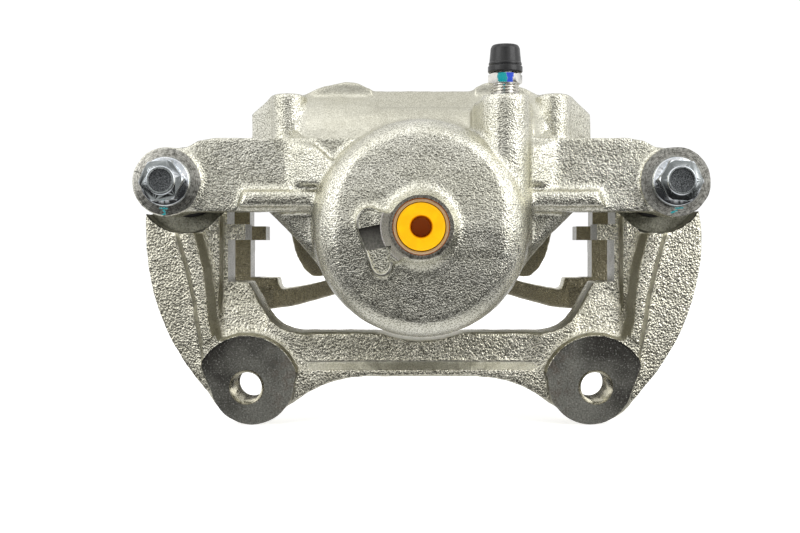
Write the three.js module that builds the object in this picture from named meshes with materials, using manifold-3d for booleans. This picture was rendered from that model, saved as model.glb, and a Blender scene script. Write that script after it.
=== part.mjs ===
// Floating disc brake caliper on its anchor bracket. Millimetres, +Z up, -Y inboard, +Y outboard.
// Origin: on the lug face plane, midway between the two bracket bolt holes.
import * as THREE from 'three';
import { mergeVertices } from 'three/addons/utils/BufferGeometryUtils.js';
import Module from 'manifold-3d';

const wasm = await Module();
wasm.setup();

// ---- driving dimensions ---------------------------------------------------------------------
const LUG_X = 63;              // bracket bolt holes, half their spacing
const LUG_THICK = 18;
const LUG_BORE = 5.2;          // M12x1.25 minor radius, drawn plain
const LUG_CHAMFER = 6.4;
const LUG_SPOT = 18.6;

const PIN = [86.1, 72.8];      // guide pin axes, x and z
const PIN_R = 5;
const PIN_BORE = 5.25;
const PIN_SPOT = 16.9;         // machined ring round the bracket's pin bore
const PIN_SPOT_Y = 13;
const PIN_TIP_Y = 52;
const PIN_BORE_END = 66;
const BRACKET_OUT = 71;        // outboard face of the bracket

const ROTOR_GAP = [20, 58.5];   // inboard and outboard limits of the space for the rotor
const ROTOR_AXIS_Z = -50;
const ROTOR_CLEAR = 143;       // bracket clearance radius round the rotor axis
const BRIDGE_CLEAR = 145.5;    // housing clearance radius round the rotor axis

const CYL_Z = 57.3;            // cylinder axis height
const CYL_R = 38.8;
const CYL_END_Y = -44;
const END_DRAFT = 0.07;         // slope of the closed end away from its parting line
const MOUTH_Y = -1;
const BORE_R = 30.2;
const BORE_END_Y = -36;
const PISTON_R = 30;
const PISTON_BACK_Y = -32;
const PISTON_FACE_Y = 8;
const SEAL_Y = -11;
const RING_Y = -4;

const EAR_R = 11.9;
const EAR = [-26, -12];        // ear faces along y
const CLAW = [61, 79];         // claw inner and outer faces along y

const BLEED = [28, -31];       // bleeder axis, x and y
const BLEED_TOP = 101;
const BLEED_HEX = [105, 108.4]; // bottom and top of the bleeder's hexagon
const INLET_Y = -47.5;
const INLET_SPOT = 13.1;       // cutter radius of the inlet's flat face

const BOLT_HEX = 13;           // across flats of the pin bolts
const SEGMENTS = 40;           // of a large round

// ---- helpers --------------------------------------------------------------------------------
// a closed three.js geometry as a solid
function solid(geometry) {
  const bare = new THREE.BufferGeometry();
  const source = geometry.index ? geometry.toNonIndexed() : geometry;
  bare.setAttribute('position', source.getAttribute('position').clone());
  const merged = mergeVertices(bare, 1e-4);
  const mesh = new wasm.Mesh({
    numProp: 3,
    vertProperties: new Float32Array(merged.getAttribute('position').array),
    triVerts: new Uint32Array(merged.index.array),
  });
  return new wasm.Manifold(mesh);
}

function join(...bodies) {
  return bodies.reduce((a, b) => a.add(b));
}

function cut(body, ...tools) {
  return tools.reduce((a, b) => a.subtract(b), body);
}

function extrusion(outline, depth) {
  const shape = new THREE.Shape(outline.map(([u, v]) => new THREE.Vector2(u, v)));
  return new THREE.ExtrudeGeometry(shape, { depth, bevelEnabled: false });
}

// an outline of [x, z] points as a plate between two y values
function plate(outline, y0, y1) {
  return solid(extrusion(outline, y1 - y0).rotateX(Math.PI / 2).translate(0, y1, 0));
}

// an outline of [y, z] points as a bar between two x values
function bar(outline, x0, x1) {
  const geometry = extrusion(outline, x1 - x0);
  geometry.applyMatrix4(new THREE.Matrix4().set(
    0, 0, 1, x0,
    1, 0, 0, 0,
    0, 1, 0, 0,
    0, 0, 0, 1,
  ));
  return solid(geometry);
}

// an outline of [x, y] points as a block between two z values
function block(outline, z0, z1) {
  return solid(extrusion(outline, z1 - z0).translate(0, 0, z0));
}

function box(x0, x1, y0, y1, z0, z1) {
  const geometry = new THREE.BoxGeometry(x1 - x0, y1 - y0, z1 - z0);
  return solid(geometry.translate((x0 + x1) / 2, (y0 + y1) / 2, (z0 + z1) / 2));
}

// a lathe of [radius, distance] points that start and end on the axis or close on themselves
function lathe(profile, segments) {
  const points = profile.map(([r, d]) => new THREE.Vector2(r, d));
  if (THREE.ShapeUtils.area(points) < 0) {
    points.reverse();
  }
  return new THREE.LatheGeometry(points, segments);
}

// a body of revolution with its axis along +Y
function turnedY(profile, x, z, segments = SEGMENTS) {
  return solid(lathe(profile, segments).translate(x, 0, z));
}

// a body of revolution with its axis along +Z
function turnedZ(profile, x, y, segments = 32) {
  return solid(lathe(profile, segments).rotateX(Math.PI / 2).translate(x, y, 0));
}

function rodY(r, y0, y1, x, z, segments = SEGMENTS) {
  return turnedY([[0, y0], [r, y0], [r, y1], [0, y1]], x, z, segments);
}

function rodZ(r, z0, z1, x, y, segments = 32) {
  return turnedZ([[0, z0], [r, z0], [r, z1], [0, z1]], x, y, segments);
}

// a solid between two outlines of [x, z] points with the same count, at two y values
function loft(front, yFront, back, yBack) {
  const n = front.length;
  const flat = front.map(([x, z]) => new THREE.Vector2(x, z));
  if (THREE.ShapeUtils.area(flat) < 0) {
    return loft(front.slice().reverse(), yFront, back.slice().reverse(), yBack);
  }
  const ring = (outline, y) => outline.map(([x, z]) => [x, y, z]).flat();
  const faces = THREE.ShapeUtils.triangulateShape(flat, []);
  const index = [];
  for (const [a, b, c] of faces) {
    index.push(a, b, c);
    index.push(n + a, n + c, n + b);
  }
  for (let i = 0; i < n; i += 1) {
    const j = (i + 1) % n;
    index.push(i, n + i, j);
    index.push(j, n + i, n + j);
  }
  const geometry = new THREE.BufferGeometry();
  geometry.setAttribute('position', new THREE.Float32BufferAttribute(
    [...ring(front, yFront), ...ring(back, yBack)], 3));
  geometry.setIndex(index);
  return solid(geometry);
}

function flipX(body) {
  return body.mirror([1, 0, 0]);
}

// a body and its mirror image across x = 0
function both(body) {
  return body.add(flipX(body));
}

function mirrored(points) {
  return [...points, ...points.slice().reverse().map(([x, z]) => [-x, z])];
}

// points of an arc in degrees, both ends included
function arc(cx, cz, r, from, to, steps) {
  return Array.from({ length: steps + 1 }, (_, i) => {
    const angle = THREE.MathUtils.degToRad(from + ((to - from) * i) / steps);
    return [cx + r * Math.cos(angle), cz + r * Math.sin(angle)];
  });
}

// the corners of a hexagon, the first one at the angle turn
function hexagon(acrossFlats, u, v, turn) {
  return arc(u, v, acrossFlats / Math.sqrt(3), turn, turn + 300, 5);
}

function material(color, roughness, metalness) {
  return new THREE.MeshStandardMaterial({ color, roughness, metalness });
}

const group = new THREE.Group();

function piece(name, body, finish) {
  const mesh = body.getMesh();
  const geometry = new THREE.BufferGeometry();
  geometry.setAttribute('position', new THREE.Float32BufferAttribute(mesh.vertProperties, 3));
  geometry.setIndex(new THREE.Uint32BufferAttribute(mesh.triVerts, 1));
  geometry.computeVertexNormals();
  const node = new THREE.Mesh(geometry, finish);
  node.name = name;
  group.add(node);
}

const castZinc = () => material(0xb9b6a6, 0.45, 0.85);
const brightZinc = () => material(0xc8ccd2, 0.28, 0.95);
const blackRubber = () => material(0x17181a, 0.6, 0);

// ---- anchor bracket -------------------------------------------------------------------------
const [PX, PZ] = PIN;

// pad abutment: upper slot, tooth, lower slot and ledge, shared by both sides of the rotor
const abutment = [
  [70.7, PZ],
  [70.7, 59],
  [64.1, 59],
  [64.1, 53.3],
  [70.4, 53.3],
  [70.4, 38],
];

// the inboard frame: lug lobes, legs with their curved outer edge, and the beam between the lugs
const frame = mirrored([
  ...arc(20, -37.5, 41, 90, 50, 5),
  ...arc(62, 2.5, 15.5, 225, 326, 8),
  ...arc(16.6, 55, 83.4, -43, 0, 9),
  [100, PZ],
  ...abutment,
  [62.8, 38],
  [56.9, 27.6],
  ...arc(44.2, 33.7, 14, -28, -90, 4),
]);

// the right leg is a little wider than the left one
const RIGHT_EXTRA = 2.1;
const rightEdge = [
  [63, -12.8],
  ...arc(63.4, 2.5, 15.5, 275, 322, 5),
  ...arc(16.6 + RIGHT_EXTRA, 55, 83.4, -42, 0, 9),
  [100, PZ],
  [80, PZ],
  [63, 10],
];

function buildBracket() {
  let body = join(plate(frame, 1.5, ROTOR_GAP[0]), plate(rightEdge, 1.5, ROTOR_GAP[0]));

  // the abutment plates stand back from the legs; the slope starts above the lugs
  const standBack = bar([
    [-20, 12],
    [-2, 12],
    [1.6, 16],
    [4, 34],
    [4, 90],
    [-20, 90],
  ], 56, 72.5);
  body = cut(body, both(standBack));

  // raised rib down the leg, a gentle slope outside and a wide flank inside
  const ribFront = [
    [77.2, 12],
    [79.2, 21],
    [80.6, 31.3],
    [83.2, 42.8],
    [87, 56],
    [81.8, 56],
    [78.4, 42.8],
    [77.1, 31.3],
    [76.6, 24],
    [73.6, 12],
  ];
  const slope = 5;
  const flank = 6;
  const ribFoot = ribFront.map(([x, z], i) => [i < ribFront.length / 2 ? x + slope : x - flank, z + 0.4]);
  const rib = loft(ribFront, -3, ribFoot, 5);
  body = join(body, both(rib));

  // lug bosses, and the lower flange of the beam that runs into them
  const lug = plate([
    [44.5, 6.2],
    ...arc(61.05, 1.5, 15.05, 176, 364, 14),
    [79.1, 9.2],
    ...arc(LUG_X, 0, LUG_SPOT + 0.8, 34, 156, 8),
  ], -1.2, LUG_THICK);
  const flange = bar([
    [1.3, 6.2],
    [2, 7.8],
    [3.8, 8.9],
    [8, 8.9],
    [8, -10],
    [1.3, -10],
  ], -50, 50).intersect(plate(frame, -5, 10));
  body = join(body, both(lug), flange);

  // bosses for the guide pins, carried over the rotor to the outboard side
  const pinBoss = rodY(15.2, PIN_SPOT_Y, BRACKET_OUT, PX, PZ);
  const carry = plate([
    [70.7, 56],
    [100, 56],
    ...arc(PX, PZ, 15.4, -24, 116, 7),
    [70.7, 80],
  ], PIN_SPOT_Y, BRACKET_OUT);
  const rotor = rodY(ROTOR_CLEAR, ROTOR_GAP[0], ROTOR_GAP[1], 0, ROTOR_AXIS_Z, 96);
  body = join(body, both(cut(join(pinBoss, carry), rotor)));

  // outboard legs with the same abutment profile, and the arched tie bar
  const tie = mirrored([
    ...arc(0, -89, 125, 90, 71, 4),
    [53, 25.8],
    [63, 24.6],
    [74, 25.4],
    ...arc(40, 62, 57.5, -33, 0, 6),
    [97.5, PZ],
    ...abutment,
    [59.2, 38],
    [58.1, 33.1],
    [50, 34.4],
    ...arc(0, -88.2, 131.2, 71, 90, 4),
  ]);
  const corner = block([
    [60.4, 59],
    [66, 55.6],
    [76, 55.6],
    [76, 62],
    [60.4, 62],
  ], 25.2, 33.2);
  body = join(body, plate(tie, ROTOR_GAP[1], BRACKET_OUT), both(corner));

  // machining: pin faces, pin bores, lug faces and threaded lug holes, cylinder relief
  const pinFace = rodY(PIN_SPOT, -20, PIN_SPOT_Y, PX, PZ);
  const pinBore = rodY(PIN_BORE, 0, PIN_BORE_END, PX, PZ, 28);
  const lugFace = rodY(LUG_SPOT, -20, 0, LUG_X, 0);
  const lugHole = turnedY([
    [0, -5],
    [LUG_CHAMFER, -5],
    [LUG_CHAMFER, 0],
    [LUG_BORE, 1.2],
    [LUG_BORE, LUG_THICK - 1],
    [LUG_CHAMFER - 0.4, LUG_THICK],
    [LUG_CHAMFER - 0.4, 30],
    [0, 30],
  ], LUG_X, 0);
  const relief = rodY(CYL_R + 1.7, -5, 30, 0, CYL_Z, 80);
  const lugBack = box(40, 80, LUG_THICK, 30, -20, 14);
  return cut(body, both(join(pinFace, pinBore, lugFace)), both(lugBack), both(lugHole), relief);
}

// ---- caliper housing ------------------------------------------------------------------------
// the locating pad beside the hose inlet: its foot, the keyway and the toe recess
const padFoot = [
  ...arc(-16.6, 59.6, 4.6, 200, 20, 6),
  [-8.6, 52],
  [-8.4, 46.4],
  ...arc(-12.6, 44.4, 3.4, 0, -160, 5),
  [-17.8, 49.4],
];
const keyway = [
  [-20.2, 56.6],
  [-12.6, 58.3],
  [-11, 50.6],
  [-17.5, 49.7],
];
const toe = [
  [-17, 49.9],
  [-10, 50.8],
  [-9.6, 46.8],
  ...arc(-12.6, 45, 2.2, 0, -160, 5),
];

function buildCylinder() {
  const wall = turnedY([
    [0, CYL_END_Y - 0.6],
    [26.5, CYL_END_Y - 0.6],
    [30, -43.2],
    [33, -40.8],
    [35, -37.4],
    [36, -33.5],
    [36.6, -29],
    [CYL_R - 0.4, -10],
    [CYL_R, MOUTH_Y],
    [0, MOUTH_Y],
  ], 0, CYL_Z, 56);
  const fall = END_DRAFT * CYL_R;
  const draft = bar([
    [CYL_END_Y - 0.6, CYL_Z],
    [CYL_END_Y - 0.6 + fall, CYL_Z + CYL_R],
    [0, CYL_Z + CYL_R],
    [0, CYL_Z - CYL_R],
    [CYL_END_Y - 0.6 + fall, CYL_Z - CYL_R],
  ], -CYL_R, CYL_R);
  return wall.intersect(draft);
}

// arm from the cylinder to the ear, with its rib, and the gusset beside the cylinder
function buildArm() {
  const arm = plate([
    [0, 63],
    [77, 62.6],
    [PX, PZ - EAR_R + 0.6],
    [PX, PZ + EAR_R - 0.6],
    [79.6, 84.8],
    [75.6, 87],
    [70.5, 87.9],
    [20, 87.9],
  ], EAR[0] + 1, EAR[1]);
  const ear = rodY(EAR_R, EAR[0], EAR[1], PX, PZ);
  const rib = loft(
    [[35, 64.6], [35, 69.4], [59.5, 69.4], [61.5, 64.6]],
    EAR[0] - 2.2,
    [[33, 63.2], [33, 71], [62.5, 71], [64, 63.2]],
    EAR[0] + 4,
  );
  const gussetPlan = block([
    [45.4, -25.2],
    [30, -33.5],
    [24, -33.5],
    [24, -12],
    [45.4, -12],
  ], 71.5, 96);
  const gussetSide = plate([
    [20, 70],
    [48, 70],
    [48, 95],
    [44.5, 92.5],
    [29, 79],
    [20, 72],
  ], -40, 0);
  const gussetFall = bar([
    [-40, 60],
    [-40, 80],
    [-24, 87],
    [-7, 95],
    [0, 95],
    [0, 60],
  ], 0, 60);
  return join(arm, ear, rib, gussetPlan.intersect(gussetSide).intersect(gussetFall));
}

// back plate and bridge over the rotor, with a leaning inboard face, and the claw outboard
function buildBridge() {
  const backEdge = mirrored([
    [0, 30],
    [26, 30],
    [38.8, 47],
    [45.5, 54.6],
    [54, 63],
    [58, 68],
    [58, 100],
  ]);
  const backInner = mirrored([
    [0, 32],
    [25, 32],
    [36.4, 48],
    [43.6, 56.6],
    [51, 64],
    [55, 70],
    [55, 98],
  ]);
  const backPlate = join(plate(backEdge, -8.6, MOUTH_Y), loft(backInner, -11, backEdge, -8.5));
  const bridgeTop = mirrored([
    [0, 80],
    [62.9, 80],
    [62.9, 100],
    [56.4, 104.2],
    [54.4, 106],
    [42.5, 106.2],
    [37.5, 108.8],
    [28, 111],
    [23.5, 110.8],
    [18, 108.1],
  ]);
  const bridge = plate(bridgeTop, -12, CLAW[1]);
  const lean = bar([
    [-60, 60],
    [-11.4, 60],
    [-11.4, 76],
    ...arc(26.4, 76, 37.8, 180, 128, 6).slice(1),
    [4, 120],
    [-60, 120],
  ], -70, 70);
  const sideFront = block([
    [44, -60],
    [44, 2],
    [54.6, 2],
    [62.6, 11],
    [70, 11],
    [70, -60],
  ], 88, 120);
  const sideLow = box(58, 70, -60, 8, 60, 90);
  const topFall = bar([
    [28, 120],
    [40, 111],
    [60, 106],
    [72, 100],
    [77, 92],
    [79, 80],
    [90, 80],
    [90, 120],
  ], -70, 70);
  const post = block([
    [41, 8],
    ...arc(47.8, -0.6, 6.2, 170, 370, 8),
    [54.6, 8],
  ], 78, 105.6);
  const claw = plate(mirrored([
    ...arc(0, -88, 132.8, 90, 71.6, 4),
    [45.5, 38.2],
    [49, 41.4],
    [52, 47],
    [53.6, 53],
    [60.5, 84],
    [62, 96],
    [40, 100],
  ]), CLAW[0], CLAW[1]);
  const recess = bar([
    [-20, 100.8],
    [-0.6, 100.8],
    [10.2, 110.6],
    [-20, 110.6],
  ], -17.6, 19);
  const body = cut(join(backPlate, bridge), lean, both(join(sideFront, sideLow)), recess);
  return join(cut(join(body, claw), topFall), both(post));
}

// bleed boss on the cylinder's shoulder, its sides widening towards the bridge
function buildBleedBoss() {
  const [x, y] = BLEED;
  const web = block([
    ...arc(x, y, 8.3, 180, 360, 8),
    [x + 10.2, y + 10],
    [x + 10.2, 1],
    [x - 10.2, 1],
    [x - 10.2, y + 10],
  ], 52, BLEED_TOP - 0.8);
  return join(web, rodZ(7.5, 90, BLEED_TOP, x, y, 28));
}

// hose inlet boss, wider where the locating pad joins it
function buildInlet() {
  const boss = turnedY([
    [0, -34],
    [15.6, -42.6],
    [12.4, -45],
    [10.7, INLET_Y],
    [0, INLET_Y],
  ], 0, CYL_Z - 0.4);
  const lobe = plate([[0, CYL_Z], ...arc(0, CYL_Z, INLET_SPOT, 158, 238, 10)], INLET_Y, -42);
  const padTop = padFoot.map(([x, z]) => [(x + 15) * 0.88 - 15, (z - 53) * 0.92 + 53]);
  const slope = bar([
    [-46.8, 66],
    [-46.2, 58],
    [-45.2, 40],
    [-40, 40],
    [-40, 66],
  ], -30, 0);
  return join(boss, lobe, loft(padTop, -47, padFoot, -42).intersect(slope));
}

function buildHousing() {
  const whole = join(buildCylinder(), both(buildArm()), buildBridge(), buildBleedBoss(), buildInlet());

  // rotor clearance under the bridge, window through it, gap between the claw's fingers
  const rotor = rodY(BRIDGE_CLEAR, MOUTH_Y, CLAW[0], 0, ROTOR_AXIS_Z, 96);
  const window = block([
    [-17, 34],
    [17, 34],
    [17, 56],
    [-17, 56],
  ], 70, 130);
  const clawGap = join(box(-16, 16, 50, 100, 20, 60), rodY(16, 50, 100, 0, 60, 32));

  // bore with seal and boot grooves, its bottom joined to the inlet port
  const bore = turnedY([
    [0, BORE_END_Y],
    [28.6, BORE_END_Y],
    [BORE_R, BORE_END_Y + 1.6],
    [BORE_R, SEAL_Y - 2.2],
    [33.6, SEAL_Y - 2],
    [33.6, SEAL_Y + 2],
    [BORE_R, SEAL_Y + 2.2],
    [BORE_R, -7.6],
    [34, -7.6],
    [34, 5],
    [0, 5],
  ], 0, CYL_Z);
  const port = turnedY([
    [0, -60],
    [9, -60],
    [9, INLET_Y + 3.6],
    [4.8, INLET_Y + 3.6],
    [4.8, BORE_END_Y - 2.4],
    [2, BORE_END_Y - 1.6],
    [2, BORE_END_Y + 1],
    [0, BORE_END_Y + 1],
  ], 0, CYL_Z);
  const locating = join(plate(keyway, -60, -44.2), plate(toe, -60, -44.7));

  // ear holes for the bolts, bleeder bore and its drilling into the cylinder
  const earHole = rodY(4.4, -40, 0, PX, PZ, 32);
  const [bleedX, bleedY] = BLEED;
  const bleedBore = turnedZ([
    [0, BLEED_TOP + 2],
    [5.6, BLEED_TOP + 2],
    [4.9, BLEED_TOP - 1.2],
    [4.9, 84],
    [1.4, 81],
    [1.4, 74],
    [0, 74],
  ], bleedX, bleedY);
  const bleedDrill = rodY(1.4, -31.5, -20, bleedX, 76, 12);
  return cut(whole, rotor, window, clawGap, bore, port, locating, both(earHole), bleedBore, bleedDrill);
}

// ---- piston, seal, boot and ring ------------------------------------------------------------
function buildPiston() {
  return turnedY([
    [0, PISTON_BACK_Y],
    [28.4, PISTON_BACK_Y],
    [PISTON_R, PISTON_BACK_Y + 2],
    [PISTON_R, PISTON_FACE_Y - 7],
    [PISTON_R - 1.6, PISTON_FACE_Y - 6.6],
    [PISTON_R - 1.6, PISTON_FACE_Y - 3.4],
    [PISTON_R, PISTON_FACE_Y - 3],
    [PISTON_R, PISTON_FACE_Y - 0.8],
    [PISTON_R - 0.8, PISTON_FACE_Y],
    [23.4, PISTON_FACE_Y],
    [22.6, PISTON_FACE_Y - 1],
    [22.2, PISTON_BACK_Y + 8],
    [20, PISTON_BACK_Y + 6],
    [0, PISTON_BACK_Y + 6],
  ], 0, CYL_Z);
}

function ring(profile, x, z, segments) {
  return turnedY([...profile, profile[0]], x, z, segments);
}

const seal = ring([
  [PISTON_R + 0.1, SEAL_Y - 1.7],
  [33.3, SEAL_Y - 1.7],
  [33.3, SEAL_Y + 1.7],
  [PISTON_R + 0.1, SEAL_Y + 1.7],
], 0, CYL_Z);

// outer bead in the bore's mouth, one fold, inner bead in the piston's groove
const dustBoot = ring([
  [31.1, -7.3],
  [33.7, -7.3],
  [33.7, -4.6],
  [32, -4.6],
  [32, -0.6],
  [34.6, 0.8],
  [34.8, 2],
  [32.4, 3.6],
  [30.4, 4.3],
  [28.9, 4.3],
  [28.9, 2],
  [30.6, 2],
  [31.8, 2.5],
  [33.6, 1.6],
  [31.1, 0.2],
], 0, CYL_Z, 32);

const bootRing = ring([
  [32.5, RING_Y - 0.3],
  [33.7, RING_Y - 0.3],
  [33.7, RING_Y + 1.3],
  [32.5, RING_Y + 1.3],
], 0, CYL_Z);

// ---- guide pins, bolts and boots ------------------------------------------------------------
const PIN_HEAD = [EAR[1] + 0.3, -2];

function buildPin(side) {
  const x = side * PX;
  const neck = side > 0 ? 4 : PIN_R;
  const shank = turnedY([
    [0, PIN_HEAD[0]],
    [6.2, PIN_HEAD[0]],
    [7.4, PIN_HEAD[0] + 1],
    [7.4, -3.4],
    [5.4, -3.2],
    [5.4, -1.4],
    [7, -1],
    [7, 0.4],
    [PIN_R, 1.4],
    [PIN_R, PIN_TIP_Y - 16],
    [neck, PIN_TIP_Y - 15.6],
    [neck, PIN_TIP_Y - 3],
    [side > 0 ? 4.8 : neck, PIN_TIP_Y - 2.6],
    [4, PIN_TIP_Y],
    [0, PIN_TIP_Y],
  ], x, PZ, 20);
  const flats = both(box(6.4, 9, -20, -3.3, -12, 12)).translate(x, 0, PZ);
  const tapped = rodY(3.6, -30, 12, x, PZ, 16);
  return cut(shank, flats, tapped);
}

const bushing = ring([
  [4.15, PIN_TIP_Y - 15.3],
  [5.15, PIN_TIP_Y - 15.3],
  [5.15, PIN_TIP_Y - 11.4],
  [4.85, PIN_TIP_Y - 11],
  [4.85, PIN_TIP_Y - 8],
  [5.15, PIN_TIP_Y - 7.6],
  [5.15, PIN_TIP_Y - 3.4],
  [4.15, PIN_TIP_Y - 3.4],
], PX, PZ, 20);

function buildBolt(side) {
  const x = side * PX;
  const under = EAR[0] - 0.3;
  const hex = plate(hexagon(BOLT_HEX, x, PZ, side > 0 ? -3 : 5), under - 8.2, under - 1.4);
  const rim = turnedY([
    [0, under - 9],
    [4.6, under - 9],
    [5, under - 8.6],
    [5, under - 7],
    [0, under - 7],
  ], x, PZ, 24);
  const shank = turnedY([
    [0, under - 2.6],
    [7.2, under - 2.4],
    [8.5, under - 1.6],
    [8.5, under],
    [3.3, under],
    [3.3, 8],
    [2.6, 9],
    [0, 9],
  ], x, PZ, 24);
  const dimple = turnedY([
    [0, under - 12],
    [4.1, under - 12],
    [3.7, under - 8.2],
    [0, under - 7.7],
  ], x, PZ, 24);
  return cut(join(hex, rim, shank), dimple);
}

function buildPinBoot(side) {
  return ring([
    [5.6, -3],
    [7.8, -3],
    [8.4, -2.4],
    [8.4, -1],
    [7.8, -0.4],
    [9.8, 1.2],
    [9.8, 2.2],
    [7.8, 3.4],
    [10, 4.8],
    [10, 6],
    [8, 7],
    [10.2, 8.4],
    [10.2, 9.6],
    [8.4, 10.4],
    [11, 11],
    [11, PIN_SPOT_Y - 0.3],
    [6.4, PIN_SPOT_Y - 0.3],
    [6.4, 10.6],
    [8.8, 9.2],
    [6.6, 7.6],
    [6.6, 6.6],
    [8.6, 5.4],
    [6.4, 4],
    [6.4, 3],
    [8.4, 1.7],
    [7.2, 0.8],
    [7.2, -1.2],
    [5.7, -1.6],
  ], side * PX, PZ, 20);
}

// ---- bleeder, cap and inlet plug ------------------------------------------------------------
function buildBleeder() {
  const [x, y] = BLEED;
  const [base, top] = BLEED_HEX;
  const stem = turnedZ([
    [0, 81.6],
    [1.2, 81.6],
    [4.6, 84.6],
    [4.6, base - 0.6],
    [4.9, base],
    [4.9, base + 1],
    [3.4, top],
    [3.4, top + 2],
    [2.7, top + 2.8],
    [2.7, top + 4],
    [3.3, top + 4.6],
    [3.3, top + 5.4],
    [2.6, top + 6],
    [0, top + 6],
  ], x, y, 24);
  const hex = block(hexagon(10, x, y, 5), base, top);
  const passage = join(rodZ(1.1, 90, 130, x, y, 12), rodY(1, y - 8, y + 8, x, 91, 10));
  return cut(join(stem, hex), passage);
}

function buildCap() {
  const z = BLEED_HEX[1] + 0.3;
  return turnedZ([
    [3.6, z],
    [5.5, z],
    [5.8, z + 0.4],
    [5.8, z + 2.1],
    [5.4, z + 2.4],
    [5.5, z + 3],
    [4.9, z + 8],
    [4.2, z + 9.2],
    [3.2, z + 9.7],
    [0, z + 9.8],
    [0, z + 7.9],
    [3.6, z + 7.4],
    [3.6, z],
  ], BLEED[0], BLEED[1], 24);
}

const plug = turnedY([
  [0, -39.2],
  [3.9, -39.2],
  [4.4, -40],
  [4.4, -44.2],
  [7.4, -44.2],
  [7.7, -44.6],
  [7.7, -49.5],
  [7.3, -50],
  [3.5, -50],
  [3.2, -41.8],
  [0, -41.5],
], 0, CYL_Z, 32);

piece('anchor_bracket', buildBracket(), castZinc());
piece('caliper_housing', buildHousing(), castZinc());
piece('piston', buildPiston(), material(0xc9c9c6, 0.25, 1));
piece('piston_seal', seal, blackRubber());
piece('piston_dust_boot', dustBoot, blackRubber());
piece('dust_boot_ring', bootRing, material(0x9a9a9a, 0.35, 1));
for (const [side, name] of [[-1, 'left'], [1, 'right']]) {
  piece(`guide_pin_${name}`, buildPin(side), brightZinc());
  piece(`pin_bolt_${name}`, buildBolt(side), brightZinc());
  piece(`pin_boot_${name}`, buildPinBoot(side), blackRubber());
}
piece('guide_pin_bushing', bushing, blackRubber());
piece('bleeder_screw', buildBleeder(), brightZinc());
piece('bleeder_cap', buildCap(), material(0x0f0f10, 0.35, 0));
piece('inlet_plug', plug, material(0xf2b800, 0.42, 0));

export default group;
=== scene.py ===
"""Looks of a floating brake caliper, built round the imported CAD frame.

Shapes are drawn in millimetres and turned to metres when each piece is made. -Y is inboard, +Z up.
"""
import math

import bmesh
import bpy
from mathutils import Matrix, Vector, noise


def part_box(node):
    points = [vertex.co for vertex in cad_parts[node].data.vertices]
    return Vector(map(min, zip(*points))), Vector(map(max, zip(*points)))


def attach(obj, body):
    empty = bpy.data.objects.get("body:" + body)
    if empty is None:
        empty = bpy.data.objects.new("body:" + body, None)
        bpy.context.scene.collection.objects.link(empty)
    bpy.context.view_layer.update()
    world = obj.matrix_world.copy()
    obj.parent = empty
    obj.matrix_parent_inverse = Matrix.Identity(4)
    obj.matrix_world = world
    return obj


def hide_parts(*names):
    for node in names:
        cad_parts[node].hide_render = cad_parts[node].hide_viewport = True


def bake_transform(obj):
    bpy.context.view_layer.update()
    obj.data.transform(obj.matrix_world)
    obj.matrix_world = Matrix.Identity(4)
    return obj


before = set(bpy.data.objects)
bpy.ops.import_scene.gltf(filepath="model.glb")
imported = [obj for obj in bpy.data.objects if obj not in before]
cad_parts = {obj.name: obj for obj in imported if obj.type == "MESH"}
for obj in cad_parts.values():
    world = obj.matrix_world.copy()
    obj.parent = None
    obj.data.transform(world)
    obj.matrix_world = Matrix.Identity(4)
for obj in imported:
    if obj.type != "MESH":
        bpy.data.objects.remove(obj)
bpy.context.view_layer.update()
MM = 0.001

# ---- dimensions, in mm ----------------------------------------------------------------------


def middle(node):
    low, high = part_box(node)
    return (low + high) / 2 / MM


PIN_X = middle("pin_bolt_right").x
PIN_Z = middle("pin_bolt_right").z
CYL_Z = middle("piston").z
BLEED_X = middle("bleeder_screw").x
BLEED_Y = middle("bleeder_screw").y
LUG_X = 63
LUG_THICK = 18
EAR = (-26, -12)
PIN_SPOT_Y = 13
BORE_END_Y = -36
SEAL_Y = -11
INLET_Y = -47.5
BLEED_TOP = 101
BLEED_HEX = (105, 108.4)
SPOT_R = 13.1                     # cutter radius of the hose inlet's flat face
PISTON_BACK_Y = -32
PISTON_FACE_Y = 8
PIN_TIP_Y = 52
ROUND = 128      # segments of a visible round
VOXEL = 0.86


# ---- mesh helpers ---------------------------------------------------------------------------
def link(obj):
    bpy.context.scene.collection.objects.link(obj)
    return obj


def to_object(bm, material=None, name="body"):
    bmesh.ops.recalc_face_normals(bm, faces=bm.faces)
    mesh = bpy.data.meshes.new(name)
    bm.to_mesh(mesh)
    bm.free()
    if material:
        mesh.materials.append(material)
    return link(bpy.data.objects.new(name, mesh))


def side_walls(bm, low, high):
    """Joins two rings of vertices of equal length."""
    for i in range(len(low)):
        j = (i + 1) % len(low)
        bm.faces.new([low[i], low[j], high[j], high[i]])


def stand(bm, centre, axis):
    """Moves a body drawn round Z to an axis along Y or Z through centre."""
    if axis == "Y":
        bm.transform(Matrix(((1, 0, 0, centre[0]), (0, 0, 1, 0), (0, 1, 0, centre[1]), (0, 0, 0, 1))))
    else:
        bm.transform(Matrix.Translation((centre[0], centre[1], 0)))


def apply_modifiers(obj):
    graph = bpy.context.evaluated_depsgraph_get()
    mesh = bpy.data.meshes.new_from_object(obj.evaluated_get(graph))
    obj.modifiers.clear()
    old = obj.data
    obj.data = mesh
    bpy.data.meshes.remove(old)
    return obj


def boolean(obj, tool, operation="DIFFERENCE"):
    """Cuts, joins or intersects obj with tool, which is used up. A cut keeps the tool's material."""
    modifier = obj.modifiers.new("cut", "BOOLEAN")
    modifier.operation = operation
    modifier.solver = "MANIFOLD"
    modifier.material_mode = "TRANSFER"
    modifier.object = tool
    apply_modifiers(obj)
    bpy.data.objects.remove(tool)
    return obj


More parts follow.
